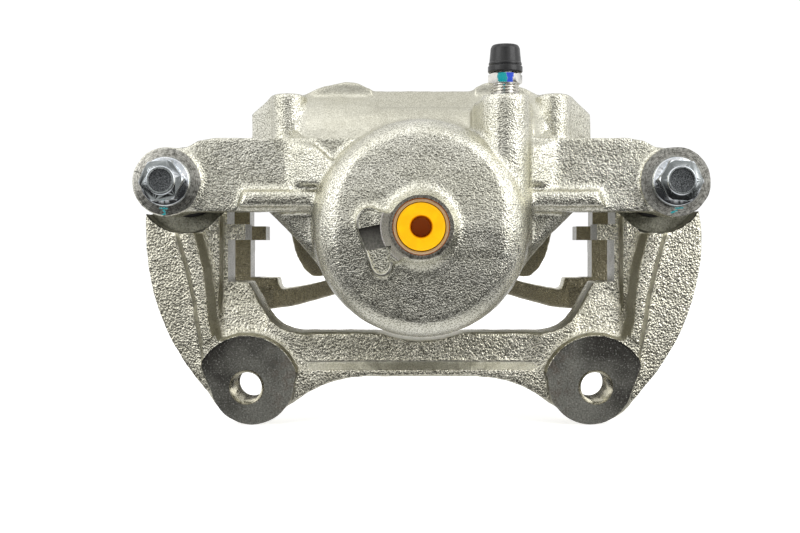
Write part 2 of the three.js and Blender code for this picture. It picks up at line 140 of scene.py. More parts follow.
def rounded(points, closed=False):
    """Points of [r, d] or [r, d, radius]: each corner with a radius becomes an arc."""
    result = []
    count = len(points)
    for i, point in enumerate(points):
        here = Vector(point[:2])
        radius = point[2] if len(point) > 2 else 0
        if radius == 0 or (not closed and i in (0, count - 1)):
            result.append(tuple(here))
            continue
        before = Vector(points[i - 1][:2]) - here
        after = Vector(points[(i + 1) % count][:2]) - here
        half = before.angle(after) / 2
        reach = min(radius / math.tan(half), before.length * 0.49, after.length * 0.49)
        start = here + before.normalized() * reach
        end = here + after.normalized() * reach
        steps = 6
        for k in range(steps + 1):
            t = k / steps
            result.append(tuple(start.lerp(here, t).lerp(here.lerp(end, t), t)))
    return result


def turned(points, centre, axis="Y", closed=False, segments=ROUND, material=None):
    """A body of revolution of [r, d] points round an axis through centre."""
    profile = rounded(points, closed)
    bm = bmesh.new()
    rows = []
    for r, d in profile:
        if r < 1e-6:
            rows.append([bm.verts.new((0, 0, d))])
        else:
            rows.append([bm.verts.new((
                r * math.cos(2 * math.pi * k / segments),
                r * math.sin(2 * math.pi * k / segments), d)) for k in range(segments)])
    pairs = list(zip(rows, rows[1:]))
    if closed:
        pairs.append((rows[-1], rows[0]))
    for a, b in pairs:
        for k in range(segments):
            j = (k + 1) % segments
            corners = [a[k % len(a)], a[j % len(a)], b[j % len(b)], b[k % len(b)]]
            unique = list(dict.fromkeys(corners))
            if len(unique) > 2:
                bm.faces.new(unique)
    stand(bm, centre, axis)
    return to_object(bm, material)


def rod(r, d0, d1, centre, axis="Y", material=None, segments=ROUND):
    return turned([[0, d0], [r, d0], [r, d1], [0, d1]], centre, axis, segments=segments, material=material)


def prism(outline, d0, d1, axis="Y", material=None):
    """An outline of [x, z] points along Y, of [x, y] points along Z, or of [y, z] points along X."""
    bm = bmesh.new()

    def place(u, v, d):
        return {"X": (d, u, v), "Y": (u, d, v), "Z": (u, v, d)}[axis]

    low = [bm.verts.new(place(u, v, d0)) for u, v in outline]
    high = [bm.verts.new(place(u, v, d1)) for u, v in outline]
    bm.faces.new(low)
    bm.faces.new(high)
    side_walls(bm, low, high)
    return to_object(bm, material)


def on_side(side, outline):
    """An outline drawn for the right side, or mirrored to the left."""
    return [(side * u, v) for u, v in outline]


def about(centre, outline):
    return [(centre[0] + u, centre[1] + v) for u, v in outline]


def box_outline(half, low, high):
    return [(-half, low), (half, low), (half, high), (-half, high)]


def arc(cx, cz, r, start, end, steps):
    return [(cx + r * math.cos(math.radians(start + (end - start) * k / steps)),
             cz + r * math.sin(math.radians(start + (end - start) * k / steps))) for k in range(steps + 1)]


def hexagon(across_flats, turn):
    r = across_flats / math.sqrt(3)
    return [(r * math.cos(math.radians(turn + 60 * k)), r * math.sin(math.radians(turn + 60 * k)))
            for k in range(6)]


def threaded(centre, axis, r_minor, r_major, pitch, d0, d1, material=None, segments=64):
    """A solid rod with a single-start V thread between two heights, its ends faded to the minor radius."""
    steps = 8
    rows_count = max(2, round((d1 - d0) / pitch * steps))
    bm = bmesh.new()
    rows = []
    for i in range(rows_count + 1):
        d = d0 + (d1 - d0) * i / rows_count
        fade = min(1, (d - d0) / (0.6 * pitch), (d1 - d) / (0.6 * pitch))
        row = []
        for k in range(segments):
            phase = ((d - d0) / pitch - k / segments) % 1
            height = min(1, max(0, 1.25 * (1 - abs(2 * phase - 1)) - 0.1))
            r = r_minor + (r_major - r_minor) * height * max(0, fade)
            angle = 2 * math.pi * k / segments
            row.append(bm.verts.new((r * math.cos(angle), r * math.sin(angle), d)))
        rows.append(row)
    for a, b in zip(rows, rows[1:]):
        side_walls(bm, a, b)
    bm.faces.new(rows[0])
    bm.faces.new(rows[-1])
    stand(bm, centre, axis)
    return to_object(bm, material)


def join(first, *others):
    """Puts the shells of the others into the first object."""
    bm = bmesh.new()
    bm.from_mesh(first.data)
    for other in others:
        bm.from_mesh(other.data)
        bpy.data.objects.remove(other)
    bm.to_mesh(first.data)
    bm.free()
    return first


def cad_copy(node):
    """The node's CAD mesh as a new closed object, in mm."""
    bm = bmesh.new()
    bm.from_mesh(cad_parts[node].data)
    bm.transform(Matrix.Scale(1 / MM, 4))
    bmesh.ops.remove_doubles(bm, verts=bm.verts, dist=1e-3)
    return to_object(bm)


def bevel(obj, width, segments=2, angle=30):
    modifier = obj.modifiers.new("bevel", "BEVEL")
    modifier.width = width
    modifier.segments = segments
    modifier.limit_method = "ANGLE"
    modifier.angle_limit = math.radians(angle)
    modifier.use_clamp_overlap = True
    return apply_modifiers(obj)


def finished(obj, name, body, nodes, sharp=38):
    """Turns a piece drawn in mm into a shown piece on its body, in place of its CAD nodes."""
    obj.name = name
    obj.data.transform(Matrix.Scale(MM, 4))
    obj.data.shade_smooth()
    obj.data.set_sharp_from_angle(angle=math.radians(sharp))
    if body:
        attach(obj, body)
    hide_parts(*nodes)


# ---- materials ------------------------------------------------------------------------------
PAINT_STEPS = 5
TEAL = (0.0, 0.22, 0.24, 1)
BLUE = (0.01, 0.05, 0.42, 1)
EAR_PAINT = [                     # strokes of inspection paint, from the pin's centre
    ((-1, -2.0, -8.9), (-1, 0.3, -9.1), 0.32),
    ((-1, -1.1, -9.6), (-1, 0.1, -10.6), 0.34),
    ((-1, 0.1, -10.6), (-1, -1.5, -11.3), 0.34),
    ((1, -0.4, -9.0), (1, 2.2, -8.8), 0.32),
    ((1, 0.2, -9.8), (1, -1.5, -10.4), 0.34),
]


class Finish:
    """A node material in the piece's own coordinates, with one Principled shader."""

    def __init__(self, name, **sockets):
        self.material = bpy.data.materials.new(name)
        self.material.use_nodes = True
        self.tree = self.material.node_tree
        self.shader = self.tree.nodes["Principled BSDF"]
        for key, value in sockets.items():
            self.shader.inputs[key.replace("_", " ")].default_value = value
        self.place = self.tree.nodes.new("ShaderNodeTexCoord").outputs["Object"]

    def node(self, kind, inputs=None, **settings):
        node = self.tree.nodes.new("ShaderNode" + kind)
        for key, value in settings.items():
            setattr(node, key, value)
        for key, value in (inputs or {}).items():
            self.put(value, node.inputs[key])
        return node

    def put(self, value, socket):
        if isinstance(value, bpy.types.NodeSocket):
            self.tree.links.new(value, socket)
        else:
            socket.default_value = value

    def noise(self, per_mm, detail=2.0, rough=0.5, stretch=None):
        place = self.place
        if stretch:
            place = self.node("Mapping", {"Vector": place, "Scale": stretch}).outputs[0]
        inputs = {"Vector": place, "Scale": per_mm / MM, "Detail": detail, "Roughness": rough}
        return self.node("TexNoise", inputs).outputs["Fac"]

    def math(self, operation, a, b=0.0):
        return self.node("Math", {0: a, 1: b}, operation=operation).outputs[0]

    def ramp(self, value, low, high, to_low=0.0, to_high=1.0):
        return self.node("MapRange", {"Value": value, "From Min": low, "From Max": high,
                                      "To Min": to_low, "To Max": to_high},
                         interpolation_type="SMOOTHSTEP").outputs[0]

    def mix(self, factor, a, b):
        node = self.node("Mix", data_type="RGBA")
        self.put(factor, node.inputs[0])
        self.put(a, node.inputs[6])
        self.put(b, node.inputs[7])
        return node.outputs[2]

    def bump(self, height, strength, distance_mm):
        inputs = {"Height": height, "Strength": strength, "Distance": distance_mm * MM}
        return self.node("Bump", inputs).outputs[0]

    def axis(self, index):
        """One coordinate of the place, in mm."""
        split = self.node("SeparateXYZ", {0: self.place}).outputs[index]
        return self.math("MULTIPLY", split, 1 / MM)

    def facing(self, index):
        """How squarely the surface faces along one axis, 0 to 1."""
        return self.math("ABSOLUTE", self.normal(index))

    def from_axis(self, x, z):
        """Distance in mm from a line along Y."""
        across = self.math("SUBTRACT", self.axis(0), x)
        return self.hypotenuse(across, self.math("SUBTRACT", self.axis(2), z))

    def normal(self, index):
        """One part of the surface's direction, in the piece's own coordinates."""
        return self.node("SeparateXYZ", {0: self.node("TexCoord").outputs["Normal"]}).outputs[index]

    def rings(self, radius, per_mm):
        """Tool marks that go round an axis."""
        return self.node("TexNoise", {"W": radius, "Scale": per_mm, "Detail": 2.0},
                         noise_dimensions="1D").outputs["Fac"]

    def hypotenuse(self, a, b):
        squares = self.math("MULTIPLY", a, a), self.math("MULTIPLY", b, b)
        return self.math("SQRT", self.math("ADD", *squares))

    def band(self, value, low, high, soft):
        """1 while value is between low and high."""
        return self.math("MULTIPLY", self.ramp(value, low - soft, low + soft),
                         self.ramp(value, high - soft, high + soft, 1.0, 0.0))

    def near(self, point, radius, soft):
        """1 within radius of a point given in mm, with a soft edge."""
        away = self.node("VectorMath", {0: self.place, 1: [v * MM for v in point]},
                         operation="DISTANCE").outputs["Value"]
        return self.ramp(away, (radius - soft) * MM, (radius + soft) * MM, 1.0, 0.0)

    def set(self, **sockets):
        for key, value in sockets.items():
            self.put(value, self.shader.inputs[key.replace("_", " ")])


def cast_finish(name, light, shade, grain, depth, smooth, painted_shade):
    """Sand-cast iron under zinc plating. smooth masks the smoother areas, the last argument the painted
    shade.
    """
    f = Finish(name, Metallic=1.0)
    calm = smooth(f)
    fine = f.noise(grain, 1.8, 0.6)
    coarse = f.noise(grain * 0.5, 1.0, 0.5)
    height = f.math("ADD", f.math("MULTIPLY", fine, 0.8), f.math("MULTIPLY", coarse, 0.45))
    height = f.math("MULTIPLY", height, f.ramp(calm, 0.0, 1.0, 1.0, 0.3))
    cloud = f.ramp(f.noise(0.05, 3.0, 0.6), 0.35, 0.68)
    tone = f.mix(cloud, shade, light)
    grit = f.ramp(f.noise(2.7, 3.0, 0.7), 0.40, 0.58)
    sand = f.mix(grit, (0.36, 0.345, 0.27, 1), (0.66, 0.645, 0.545, 1))
    tone = f.mix(f.math("MULTIPLY", calm, 0.85), tone, sand)
    pits = f.ramp(fine, 0.38, 0.54, 0.6, 0.0)
    tone = f.mix(f.math("MULTIPLY", pits, f.math("SUBTRACT", 1.0, calm)), tone, (0.16, 0.15, 0.10, 1))
    # painted shade: dark brown mixed in where the last mask says shade falls
    tone = f.mix(painted_shade(f), tone, (0.20, 0.175, 0.115, 1))
    rough = f.ramp(f.noise(0.3, 2.0), 0.3, 0.7, 0.17, 0.27)
    f.set(Base_Color=tone, Roughness=f.math("ADD", rough, f.math("MULTIPLY", calm, 0.16)),
          Normal=f.bump(height, 1.0, depth))
    return f.material


def bracket_smooth(f):
    """The draft slopes, and the slope above the beam's flange, came out of the mould smoother."""
    tilted = f.ramp(f.facing(1), 0.55, 0.93, 0.9, 0.0)
    slope = f.math("MULTIPLY", tilted, f.ramp(f.axis(1), 9.0, 14.0, 1.0, 0.25))
    across = f.ramp(f.math("ABSOLUTE", f.axis(0)), 38.0, 44.0, 1.0, 0.0)
    return f.math("MAXIMUM", slope, f.math("MULTIPLY", across, f.band(f.axis(2), 6.3, 9.2, 0.5)))


def bracket_painted_shade(f):
    """Painted shade outboard, and on the flanks that face the middle."""
    outward = f.math("MULTIPLY", f.normal(0), f.math("SIGN", f.axis(0)))
    inward = f.ramp(outward, -0.75, -0.3, 0.5, 0.0)
    flank = f.math("MULTIPLY", inward, f.ramp(f.axis(1), 8.0, 12.0, 1.0, 0.0))
    return f.math("MAXIMUM", flank, outboard_painted_shade(f))


def outboard_painted_shade(f):
    """Painted shade on the faces that look inboard across the rotor."""
    outboard = f.ramp(f.axis(1), 30.0, 58.0, 0.0, 0.85)
    return f.math("MULTIPLY", outboard, f.ramp(f.normal(1), -0.7, -0.3, 1.0, 0.0))


def housing_smooth(f):
    """The leaning face of the bridge, between its two posts."""
    across = f.math("ABSOLUTE", f.axis(0))
    share = f.math("ADD", f.ramp(across, 40.0, 43.5, 0.7, 0.0), f.ramp(across, 16.0, 22.0, 0.3, 0.0))
    middle_part = f.math("MULTIPLY", share, f.ramp(f.axis(2), 70.0, 78.0))
    return f.math("MULTIPLY", middle_part, f.band(f.axis(1), -11.8, 14.0, 0.9))


def housing_painted_shade(f):
    """Painted shade on the claw's inner side, below the bridge."""
    low = f.ramp(f.axis(2), 84.0, 92.0, 1.0, 0.0)
    return f.math("MULTIPLY", low, outboard_painted_shade(f))


def machined_finish(name, light, dark, rough, streak=(1, 1, 1)):
    """A cut steel face: fine tool marks and small stains."""
    f = Finish(name, Metallic=0.95)
    marks = f.noise(3.2, 2.0, 0.6, streak)
    specks = f.noise(1.4, 3.0, 0.7)
    cloud = f.ramp(f.noise(0.16, 3.0, 0.6), 0.35, 0.65)
    tone = f.mix(cloud, dark, light)
    tone = f.mix(f.ramp(specks, 0.42, 0.6), f.mix(0.4, tone, (0.01, 0.009, 0.008, 1)), tone)
    f.set(Base_Color=tone, Roughness=f.ramp(specks, 0.3, 0.7, rough - 0.06, rough + 0.1),
          Normal=f.bump(marks, 0.5, 0.05))
    return f.material


def ear_finish():
    """Ear faces cut by a cutter going round the pin, with ticks of inspection paint."""
    f = Finish("machined_ear", Metallic=1.0)
    across = f.math("SUBTRACT", f.math("ABSOLUTE", f.axis(0)), PIN_X)
    rings = f.rings(f.hypotenuse(across, f.math("SUBTRACT", f.axis(2), PIN_Z)), 3.4)
    specks = f.noise(1.4, 3.0, 0.7)
    tone = f.mix(f.ramp(rings, 0.35, 0.65), (0.36, 0.35, 0.315, 1), (0.68, 0.67, 0.61, 1))
    tone = f.mix(f.ramp(specks, 0.4, 0.55, 0.6, 0.0), tone, (0.05, 0.045, 0.035, 1))
    paint = 0.0
    for start, end, width in EAR_PAINT:
        for step in range(PAINT_STEPS + 1):
            side, u, v = (a + (b - a) * step / PAINT_STEPS for a, b in zip(start, end))
            paint = f.math("MAXIMUM", paint, f.near((side * PIN_X + u, EAR[0], PIN_Z + v), width, 0.12))
    paint = f.math("MULTIPLY", paint, f.ramp(f.noise(1.6, 2.0), 0.36, 0.44))
    tone = f.mix(paint, tone, TEAL)
    f.set(Base_Color=tone, Roughness=f.ramp(specks, 0.3, 0.7, 0.28, 0.4),
          Metallic=f.math("SUBTRACT", 1.0, paint), Normal=f.bump(rings, 0.6, 0.08))
    return f.material


def lug_finish():
    """A milled lug face: dull steel under painted shade that grows nearly black outward and upward, with a
    little rust inboard.
    """
    f = Finish("machined_lug", Metallic=0.95)
    specks = f.noise(1.6, 3.0, 0.72)
    across = f.math("SUBTRACT", f.math("ABSOLUTE", f.axis(0)), LUG_X)
    lean = f.math("ADD", f.math("MULTIPLY", across, 0.55), f.math("MULTIPLY", f.axis(2), 0.5))
    painted_shade_drift = f.math("ADD", lean, f.ramp(f.noise(0.07, 2.0), 0.3, 0.7, -5.0, 5.0))
    # painted shade: light low and inward, nearly black outward and upward
    tone = f.mix(f.ramp(painted_shade_drift, -9.0, 13.0), (0.48, 0.475, 0.42, 1), (0.10, 0.096, 0.085, 1))
    rust = f.math("MULTIPLY", f.ramp(across, -14.0, -6.0, 0.3, 0.0), f.ramp(f.noise(0.3, 3.0), 0.45, 0.6))
    tone = f.mix(rust, tone, (0.26, 0.17, 0.12, 1))
    tone = f.mix(f.ramp(specks, 0.40, 0.54, 0.35, 0.0), tone, (0.03, 0.028, 0.024, 1))
    tone = f.mix(f.ramp(specks, 0.57, 0.66, 0.0, 0.6), tone, (0.85, 0.84, 0.79, 1))
    f.set(Base_Color=tone, Roughness=f.ramp(specks, 0.3, 0.7, 0.28, 0.44),
          Normal=f.bump(f.noise(3.0, 2.0, 0.6), 0.35, 0.05))
    return f.material


def port_finish():
    """The turned inlet face: bright tool rings, a painted sheen on the lobe, a painted highlight on the
    cutter's edge, and a painted reflection of the plug's orange on the port's edge.
    """
    f = Finish("machined_port_face", Metallic=1.0)
    radius = f.from_axis(0, CYL_Z)
    rings = f.rings(radius, 4.0)
    specks = f.noise(1.5, 3.0, 0.7)
    tone = f.mix(f.ramp(rings, 0.35, 0.65), (0.26, 0.25, 0.21, 1), (0.52, 0.50, 0.44, 1))
    tone = f.mix(f.ramp(specks, 0.42, 0.58, 0.5, 0.0), tone, (0.05, 0.045, 0.035, 1))
    inner = f.ramp(radius, 8.9, 9.15, 1.0, 0.0)
    tone = f.mix(inner, tone, (0.80, 0.76, 0.66, 1))
    # painted sheen: the lobe outside the boss lighter, most towards the bottom
    lobe_painted_sheen = f.math("MULTIPLY", f.ramp(radius, 10.2, 10.8), f.ramp(f.axis(2), 45.0, 62.0, 1.0, 0.35))
    tone = f.mix(lobe_painted_sheen, tone, (0.78, 0.74, 0.63, 1))
    # painted reflection of the plug's orange on the port's edge
    tone = f.mix(f.band(radius, 8.9, 9.2, 0.06), tone, (0.42, 0.15, 0.02, 1))
    # painted highlight along the edge of the cutter's arc
    tone = f.mix(f.ramp(radius, 12.65, 12.8), tone, (0.95, 0.90, 0.84, 1))
    rough = f.math("ADD", f.ramp(specks, 0.3, 0.7, 0.24, 0.36), f.math("MULTIPLY", inner, 0.16))
    f.set(Base_Color=tone, Roughness=rough, Normal=f.bump(rings, 0.6, 0.08))
    return f.material


def edge_finish():
    """The smooth rounded rim round the locating pad."""
    f = Finish("cast_zinc_rim", Metallic=1.0)
    soft = f.noise(0.7, 2.0)
    f.set(Base_Color=f.mix(f.ramp(soft, 0.3, 0.7), (0.66, 0.645, 0.55, 1), (0.84, 0.825, 0.73, 1)),
          Roughness=f.ramp(soft, 0.3, 0.7, 0.3, 0.42), Normal=f.bump(f.noise(1.6, 2.0), 0.5, 0.1))
    return f.material


def slot_finish():
    """The keyway beside the inlet: a dull pressed floor, with painted shadow that darkens it towards its
    top edge.
    """
    f = Finish("pressed_keyway", Metallic=0.9)
    grain = f.noise(1.5, 3.0, 0.65)
    # painted shadow from the keyway's top edge, fading towards the bottom
    fall = f.ramp(f.axis(2), 49.0, 58.5)
    tone = f.mix(fall, (0.34, 0.33, 0.29, 1), (0.09, 0.085, 0.075, 1))
    f.set(Base_Color=f.mix(f.ramp(grain, 0.35, 0.6, 0.4, 0.0), tone, (0.04, 0.04, 0.035, 1)),
          Roughness=f.ramp(grain, 0.3, 0.7, 0.34, 0.48), Normal=f.bump(grain, 0.5, 0.1))
    return f.material


def zinc_finish(name):
    """Bright zinc, with painted shade darkening its flat ends, the faces square to Y."""
    f = Finish(name, Metallic=1.0)
    cloud = f.noise(0.5, 3.0, 0.6)
    tone = f.mix(f.ramp(cloud, 0.35, 0.65), (0.62, 0.66, 0.70, 1), (0.80, 0.82, 0.84, 1))
    # painted shade on the faces that look along Y
    ends = f.mix(cloud, (0.20, 0.22, 0.22, 1), (0.46, 0.49, 0.49, 1))
    tone = f.mix(f.ramp(f.facing(1), 0.95, 0.995), tone, ends)
    f.set(Base_Color=tone, Roughness=f.ramp(f.noise(1.6, 3.0, 0.6), 0.3, 0.7, 0.12, 0.24),
          Normal=f.bump(f.noise(2.6, 2.0), 0.25, 0.04))
    return f.material


def rubber_finish(name, base, rough, coat=0.0):
    f = Finish(name, Metallic=0.0, Coat_Weight=coat, Coat_Roughness=0.12)
    dust = f.ramp(f.noise(0.5, 4.0, 0.7), 0.5, 0.8)
    tone = f.mix(dust, (base, base, base * 1.08, 1), (base * 2.2, base * 2.1, base * 2.1, 1))
    f.set(Base_Color=tone, Roughness=f.ramp(f.noise(1.5, 2.0), 0.3, 0.7, rough - 0.08, rough + 0.08),
          Normal=f.bump(f.noise(4.0, 2.0), 0.3, 0.03))
    return f.material


def plastic_finish():
    f = Finish("yellow_moulded", Metallic=0.0, Specular_IOR_Level=0.12)
    tone = f.mix(f.ramp(f.noise(0.35, 3.0), 0.3, 0.7), (0.74, 0.355, 0.0, 1), (0.80, 0.40, 0.0, 1))
    # painted shade inside the plug's hollow centre
    hole_painted_shade = f.ramp(f.from_axis(0, CYL_Z), 3.3, 3.9, 1.0, 0.0)
    tone = f.mix(hole_painted_shade, tone, (0.48, 0.12, 0.0, 1))
    f.set(Base_Color=tone, Roughness=f.ramp(f.noise(1.2, 2.0), 0.3, 0.7, 0.32, 0.45),
          Normal=f.bump(f.noise(2.2, 2.0), 0.25, 0.04))
    return f.material


def chrome_finish():
    f = Finish("hard_chrome", Metallic=1.0)
    grind = f.noise(0.8, 2.0, 0.6, (1, 12, 1))
    f.set(Base_Color=f.mix(f.noise(0.3), (0.66, 0.66, 0.66, 1), (0.78, 0.78, 0.77, 1)),
          Roughness=f.ramp(grind, 0.3, 0.7, 0.1, 0.22), Normal=f.bump(grind, 0.15, 0.02))
    return f.material


def dimple_finish():
    """The rough dark floor of a bolt's forged dimple."""
    f = Finish("forged_dimple", Metallic=0.85)
    grain = f.noise(3.4, 3.0, 0.7)
    f.set(Base_Color=f.mix(f.ramp(grain, 0.42, 0.62), (0.025, 0.028, 0.03, 1), (0.20, 0.21, 0.215, 1)),
          Roughness=0.5, Normal=f.bump(grain, 0.5, 0.1))
    return f.material


def spring_finish():
    f = Finish("spring_wire", Metallic=1.0)
    f.set(Base_Color=f.mix(f.noise(0.8, 3.0), (0.30, 0.30, 0.31, 1), (0.48, 0.48, 0.49, 1)),
          Roughness=f.ramp(f.noise(1.5), 0.3, 0.7, 0.25, 0.4), Normal=f.bump(f.noise(3.0), 0.2, 0.03))
    return f.material


def bleeder_finish():
    """Bright zinc with dabs of inspection paint."""
    f = Finish("bright_zinc_painted")
    cloud = f.noise(0.5, 3.0, 0.6)
    tone = f.mix(f.ramp(cloud, 0.35, 0.65), (0.70, 0.69, 0.66, 1), (0.84, 0.82, 0.76, 1))
    wobble = f.math("MULTIPLY", f.math("SUBTRACT", f.noise(0.7, 2.0), 0.5), 2.2)
    x = f.math("ADD", f.axis(0), wobble)
    front = f.ramp(f.axis(1), BLEED_Y - 4.6, BLEED_Y - 4.2, 1.0, 0.0)
    flats = f.band(f.axis(2), BLEED_HEX[0] + 0.1, BLEED_HEX[1] - 0.1, 0.1)
    hexagon_band = f.math("MULTIPLY", front, flats)
    teal = f.math("MULTIPLY", hexagon_band, f.band(x, BLEED_X - 2.7, BLEED_X + 0.2, 0.2))
    for z, r in ((104.2, 0.45), (103.0, 0.35), (101.6, 0.3)):
        teal = f.math("MAXIMUM", teal, f.near((BLEED_X - 0.7, BLEED_Y - 4.7, z), r, 0.15))
    blue = f.math("MULTIPLY", hexagon_band, f.band(x, BLEED_X + 0.2, BLEED_X + 2.2, 0.2))
    tone = f.mix(blue, f.mix(teal, tone, TEAL), BLUE)
    bare = f.math("SUBTRACT", 1.0, f.math("MAXIMUM", teal, blue))
    f.set(Base_Color=tone, Metallic=bare, Roughness=f.ramp(f.noise(1.6, 3.0, 0.6), 0.3, 0.7, 0.16, 0.3),
          Normal=f.bump(f.noise(2.6, 2.0), 0.25, 0.04))
    return f.material


CAST_BRACKET = cast_finish("cast_zinc_bracket", (0.97, 0.94, 0.80, 1), (0.86, 0.83, 0.68, 1), 1.4, 0.46,
                           bracket_smooth, bracket_painted_shade)
CAST_HOUSING = cast_finish("cast_zinc_housing", (0.90, 0.885, 0.78, 1), (0.78, 0.765, 0.65, 1), 1.95, 0.28,
                           housing_smooth, housing_painted_shade)
EAR_METAL = ear_finish()
PORT_FACE = port_finish()
SLOT_METAL = slot_finish()
CAST_EDGE = edge_finish()
LUG_METAL = lug_finish()
SPOT_METAL = machined_finish("machined_spot", (0.54, 0.53, 0.43, 1), (0.28, 0.275, 0.21, 1), 0.32)
BROACH_METAL = machined_finish("machined_broach", (0.60, 0.59, 0.55, 1), (0.42, 0.41, 0.36, 1), 0.3,
                               (1, 1, 0.15))
PORT_METAL = machined_finish("machined_port", (0.44, 0.43, 0.40, 1), (0.28, 0.27, 0.25, 1), 0.3)
THREAD_METAL = machined_finish("cut_thread", (0.66, 0.625, 0.49, 1), (0.52, 0.49, 0.38, 1), 0.22)
ZINC = zinc_finish("bright_zinc")
RUBBER = rubber_finish("black_rubber", 0.016, 0.5)
CAP_RUBBER = rubber_finish("cap_rubber", 0.007, 0.36, 0.2)
YELLOW = plastic_finish()
CHROME = chrome_finish()
DIMPLE = dimple_finish()
SPRING = spring_finish()
BLEED_ZINC = bleeder_finish()


# ---- castings -------------------------------------------------------------------------------
# how often per mm, and how far in mm, the skin of a casting wanders, and what is taken off it first
SWELLS = ((0.22, 0.14), (0.8, 0.06))
SKIN_LOSS = 0.1


def cast(node, fills, finish, stock=0.0, hollows=()):
    """Voxel remesh, soften the corners as a sand mould does, and roughen the skin.

    stock is what the casting may stand proud inboard, for machining to take off.
    """
    body = cad_copy(node)
    for hollow in hollows:
        boolean(body, hollow)
    body = join(body, *fills)
    body.data.materials.clear()
    body.data.materials.append(finish)
    remesh = body.modifiers.new("skin", "REMESH")
    remesh.mode = "VOXEL"
    remesh.voxel_size = VOXEL
    smooth = body.modifiers.new("soft", "SMOOTH")
    smooth.iterations = 6
    smooth.factor = 0.5
    apply_modifiers(body)
    body.data.materials.clear()
    body.data.materials.append(finish)
    low, high = (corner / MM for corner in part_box(node))
    low.y -= stock
    vertices = body.data.vertices
    moved = []
    for vertex in vertices:
        p = vertex.co
        swell = sum(noise.noise(p * often) * far for often, far in SWELLS)
        p = p + vertex.normal * (swell - SKIN_LOSS)
        moved.append([min(max(v, a), b) for v, a, b in zip(p, low, high)])
    for vertex, place in zip(vertices, moved):
        vertex.co = place
    return body


def dished(outline, mouth_y, floor, floor_y):
    """A shallow hollow with sloping sides, between two outlines with the same number of points."""
    bm = bmesh.new()
    mouth = [bm.verts.new((x, mouth_y, z)) for x, z in outline]
    bottom = [bm.verts.new((x, floor_y, z)) for x, z in floor]
    bm.faces.new(mouth)
    bm.faces.new(bottom)
    side_walls(bm, mouth, bottom)
    return to_object(bm)


def machine(body, tools):
    for tool in tools:
        boolean(body, tool)


# a lug's pad, the metal that the broach cuts the pads' slots into, and the broach itself
LUG_OUTLINE = [(45.2, 6), *arc(61.05, 1.5, 15.05, 176, 350, 26), (78.2, 4.4), (79.6, 8.4),
               *arc(LUG_X, 0, 19.4, 30, 156, 12)]
SLOT_STOCK = (
    ((61.5, 50.6), (72, 50.6), (72, 62), (61.5, 62)),
    ((67.5, 36), (72, 36), (72, 78), (67.5, 78)),
)
SLOT_DEPTHS = ((4, 20), (58.5, 71))
BROACH = [(70.7, 90), (70.7, 59), (64.1, 59), (64.1, 53.3), (70.4, 53.3), (70.4, 38), (50, 38), (50, 90)]

# the hollow that leaves a flange along the foot of the lower beam: half width, foot and depth
WEB_TOP = 40
WEB_MOUTH = (44.4, 6.2, 1.2)
WEB_FLOOR = (39, 9.0, 3.2)

# the locating pad beside the hose inlet, its fall towards the toe, the keyway and the toe's recess
PAD = [*arc(-16.6, 59.2, 4.3, 200, 20, 12), (-8.6, 52), (-8.6, 46.6), *arc(-12.6, 44.6, 3.3, 0, -160, 10),
       (-17.9, 49.4)]
PAD_FALL = [(-47.1, 66), (-46.8, 58), (-46.1, 50), (-45.9, 38), (-38, 38), (-38, 66)]
PAD_RIM_FALL = [(y - 0.15, z) for y, z in PAD_FALL]
PAD_MIDDLE = (-14.3, 52.4)
KEYWAY = [(-20.2, 56.6), (-11, 58.6), (-8, 51.2), (-17.5, 49.7)]
TOE = [(-17.2, 50.1), (-9.6, 51.3), (-9.9, 47), *arc(-12.7, 44.8, 2.5, -5, -158, 10)]


def beam_web():
    half, foot, depth = WEB_MOUTH
    floor_half, floor_foot, floor_depth = WEB_FLOOR
    return dished(box_outline(half, foot, WEB_TOP), depth,
                  box_outline(floor_half, floor_foot, WEB_TOP), floor_depth)


def build_bracket():
    fills, tools = [], []
    for side in (-1, 1):
        lug = (side * LUG_X, 0)
        pin = (side * PIN_X, PIN_Z)
        disc = rod(18.3, -9, 9, lug, segments=96)
        fills += [
            boolean(prism(on_side(side, LUG_OUTLINE), -3.2, 4), disc, "INTERSECT"),
            rod(9, -3, LUG_THICK, lug, segments=48),
            rod(15.2, 9.5, 16, pin, segments=64),
            rod(8, 10, 67, pin, segments=48),
        ]
        for near, far in SLOT_DEPTHS:
            fills += [prism(on_side(side, outline), near, far) for outline in SLOT_STOCK]
        mouth = [[0, -4], [6.3, -4], [6.3, 0], [5.9, 0.5], [5.15, 1.0], [0, 1.0]]
        bore = [[0, 5], [6.1, 5], [6.1, PIN_SPOT_Y], [5.25, PIN_SPOT_Y + 0.9], [5.25, 66], [0, 66]]
        tools += [
            rod(18.6, -25, 0, lug, material=LUG_METAL),
            rod(22, -25, -1.3, lug, material=CAST_BRACKET),
            rod(5.2, -3, LUG_THICK + 3, lug, material=THREAD_METAL),
            threaded(lug, "Y", 5.1, 5.95, 1.25, 0.2, LUG_THICK - 0.2, material=THREAD_METAL, segments=96),
            turned(mouth, lug, material=THREAD_METAL),
            rod(16.9, -25, PIN_SPOT_Y, pin, material=SPOT_METAL),
            turned(bore, pin, material=BROACH_METAL),
            prism(on_side(side, BROACH), -20, 90, material=BROACH_METAL),
        ]
    body = cast("anchor_bracket", fills, CAST_BRACKET, hollows=[beam_web()])
    machine(body, tools)
    finished(body, "bracket_casting", "bracket", ["anchor_bracket"])


